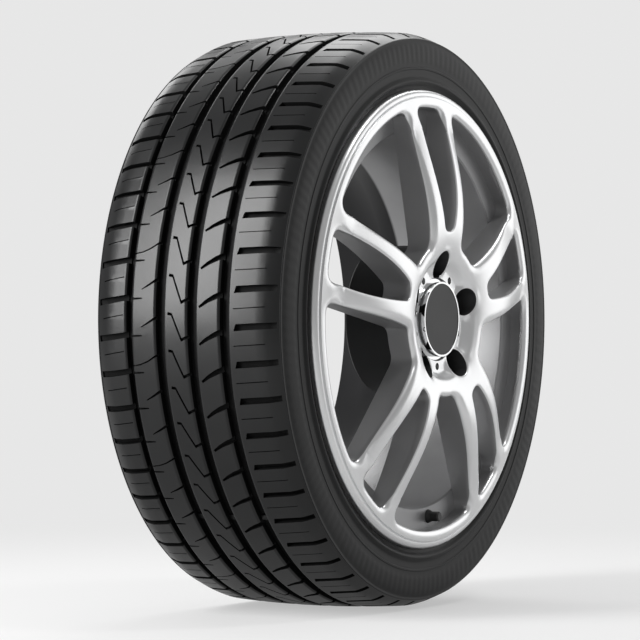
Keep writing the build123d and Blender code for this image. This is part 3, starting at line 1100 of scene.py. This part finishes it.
valve_plastic = grained_finish(
    "valve_plastic",
    colours=((0.014, 0.014, 0.014), (0.02, 0.02, 0.02)),
    roughness=(0.4, 0.5),
    fine=1800.0,
    broad=60.0,
    bump=0.02,
)
dress("valve_cap", valve_plastic)

# Studio. A pale painted floor that the tyre stands on, under a pale sky that lights it evenly,
# with five soft lamps round it and the camera where the photograph's was. The paint and the sky are
# pale to the camera and, in part, to mirrors, and put no more light on the object for it.
floor_level = -0.2981
floor_reach = 30
floor_outline = [(-1, -1), (1, -1), (1, 1), (-1, 1)]
floor_lift = 0.46
fade_start = 0.5
fade_end = 1.7
sky_light = 0.26
sky_seen = 0.8
floor_mesh = bpy.data.meshes.new("studio_floor")
floor_corners = [(x * floor_reach, y * floor_reach, floor_level) for x, y in floor_outline]
floor_mesh.from_pydata(floor_corners, [], [(0, 1, 2, 3)])
floor = bpy.data.objects.new("studio_floor", floor_mesh)
bpy.context.collection.objects.link(floor)


def math_node(nodes, operation, value=0.5):
    """Math node with its second value set."""
    node = nodes.new("ShaderNodeMath")
    node.operation = operation
    node.inputs[1].default_value = value
    return node


def seen_share(nodes, links, mirror_share):
    """Light path node, and a socket that is 1 to the camera and a share of it to mirrors."""
    ray = nodes.new("ShaderNodeLightPath")
    mirrored = math_node(nodes, "MULTIPLY", mirror_share)
    either = math_node(nodes, "MAXIMUM")
    links.new(ray.outputs["Is Glossy Ray"], mirrored.inputs[0])
    links.new(ray.outputs["Is Camera Ray"], either.inputs[0])
    links.new(mirrored.outputs["Value"], either.inputs[1])
    return ray, either.outputs["Value"]


floor_paint, nodes, links, shader = new_material("studio_floor_paint")
shader.inputs["Base Color"].default_value = (0.38, 0.38, 0.38, 1)
shader.inputs["Roughness"].default_value = 0.8
shader.inputs["Specular IOR Level"].default_value = 0.1
shader.inputs["Emission Color"].default_value = (1, 1, 1, 1)
ray, seen = seen_share(nodes, links, mirror_share=0.45)
lift = math_node(nodes, "MULTIPLY", floor_lift)
links.new(seen, lift.inputs[0])
links.new(lift.outputs["Value"], shader.inputs["Emission Strength"])
# far from the tyre, the floor fades into the sky
where = nodes.new("ShaderNodeTexCoord")
distance = nodes.new("ShaderNodeVectorMath")
distance.operation = "LENGTH"
far = nodes.new("ShaderNodeMapRange")
far.interpolation_type = "SMOOTHSTEP"
far.inputs["From Min"].default_value = fade_start
far.inputs["From Max"].default_value = fade_end
fade = math_node(nodes, "MULTIPLY")
haze = nodes.new("ShaderNodeEmission")
haze.inputs["Strength"].default_value = sky_seen
blend = nodes.new("ShaderNodeMixShader")
links.new(where.outputs["Object"], distance.inputs[0])
links.new(distance.outputs["Value"], far.inputs["Value"])
links.new(far.outputs["Result"], fade.inputs[0])
links.new(ray.outputs["Is Camera Ray"], fade.inputs[1])
links.new(fade.outputs["Value"], blend.inputs["Fac"])
links.new(shader.outputs["BSDF"], blend.inputs[1])
links.new(haze.outputs["Emission"], blend.inputs[2])
links.new(blend.outputs["Shader"], nodes["Material Output"].inputs["Surface"])
floor_mesh.materials.append(floor_paint)
floor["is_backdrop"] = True

sky = bpy.data.worlds.new("studio")
bpy.context.scene.world = sky
sky.use_nodes = True
nodes, links = sky.node_tree.nodes, sky.node_tree.links
background = nodes["Background"]
background.inputs["Color"].default_value = (1, 1, 1, 1)
_, seen = seen_share(nodes, links, mirror_share=0.12)
strength = nodes.new("ShaderNodeMapRange")
strength.inputs["To Min"].default_value = sky_light
strength.inputs["To Max"].default_value = sky_seen
links.new(seen, strength.inputs["Value"])
links.new(strength.outputs["Result"], background.inputs["Strength"])


def aimed(place, target):
    """Turn of a lamp or camera that looks from a place to a target."""
    return (Vector(target) - Vector(place)).to_track_quat("-Z", "Y").to_euler()


def lamp(name, place, target, size, power):
    """Soft rectangular lamp that faces a target."""
    data = bpy.data.lights.new(name, "AREA")
    data.shape = "RECTANGLE"
    data.size, data.size_y = size
    data.energy = power
    item = bpy.data.objects.new(name, data)
    bpy.context.collection.objects.link(item)
    item.location = place
    item.rotation_euler = aimed(place, target)


lamp("tread_lamp", place=(-1.9, 1.1, 0.95), target=(-0.2, 0.05, 0), size=(0.8, 2.2), power=72)
lamp("edge_lamp", place=(1.2, 2.1, 1.45), target=(0, 0.05, 0.15), size=(1.2, 1.2), power=11)
lamp("ridge_lamp", place=(0.35, -1.0, 2.1), target=(-0.15, 0.05, 0.2), size=(0.4, 0.4), power=9)
lamp("top_lamp", place=(1.6, 0.5, 1.9), target=(0, 0, 0.1), size=(1.6, 1.4), power=22)
lamp("face_lamp", place=(2.7, -1.6, 0.4), target=(0, 0, 0), size=(2.8, 2.3), power=18.5)

# camera, fitted to the photograph's pixels
photo_size = 640
focal_pixels = 3454.0
centre_pixel = (333.66, 319.45)
sensor_width = 36
camera_place = (-3.1406, -1.7173, -0.0126)
camera_target = (0, rim_centre * millimetre, 0)
camera_data = bpy.data.cameras.new("photo_camera")
camera_data.sensor_width = sensor_width
camera_data.lens = focal_pixels / photo_size * sensor_width
camera_data.shift_x = (photo_size / 2 - centre_pixel[0]) / photo_size
camera_data.shift_y = (centre_pixel[1] - photo_size / 2) / photo_size
camera_data.clip_start = 0.1
camera_data.clip_end = 100
camera = bpy.data.objects.new("photo_camera", camera_data)
bpy.context.collection.objects.link(camera)
camera.location = camera_place
camera.rotation_euler = aimed(camera_place, camera_target)
bpy.context.scene.camera = camera
bpy.context.scene.view_settings.view_transform = "Standard"

low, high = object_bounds()
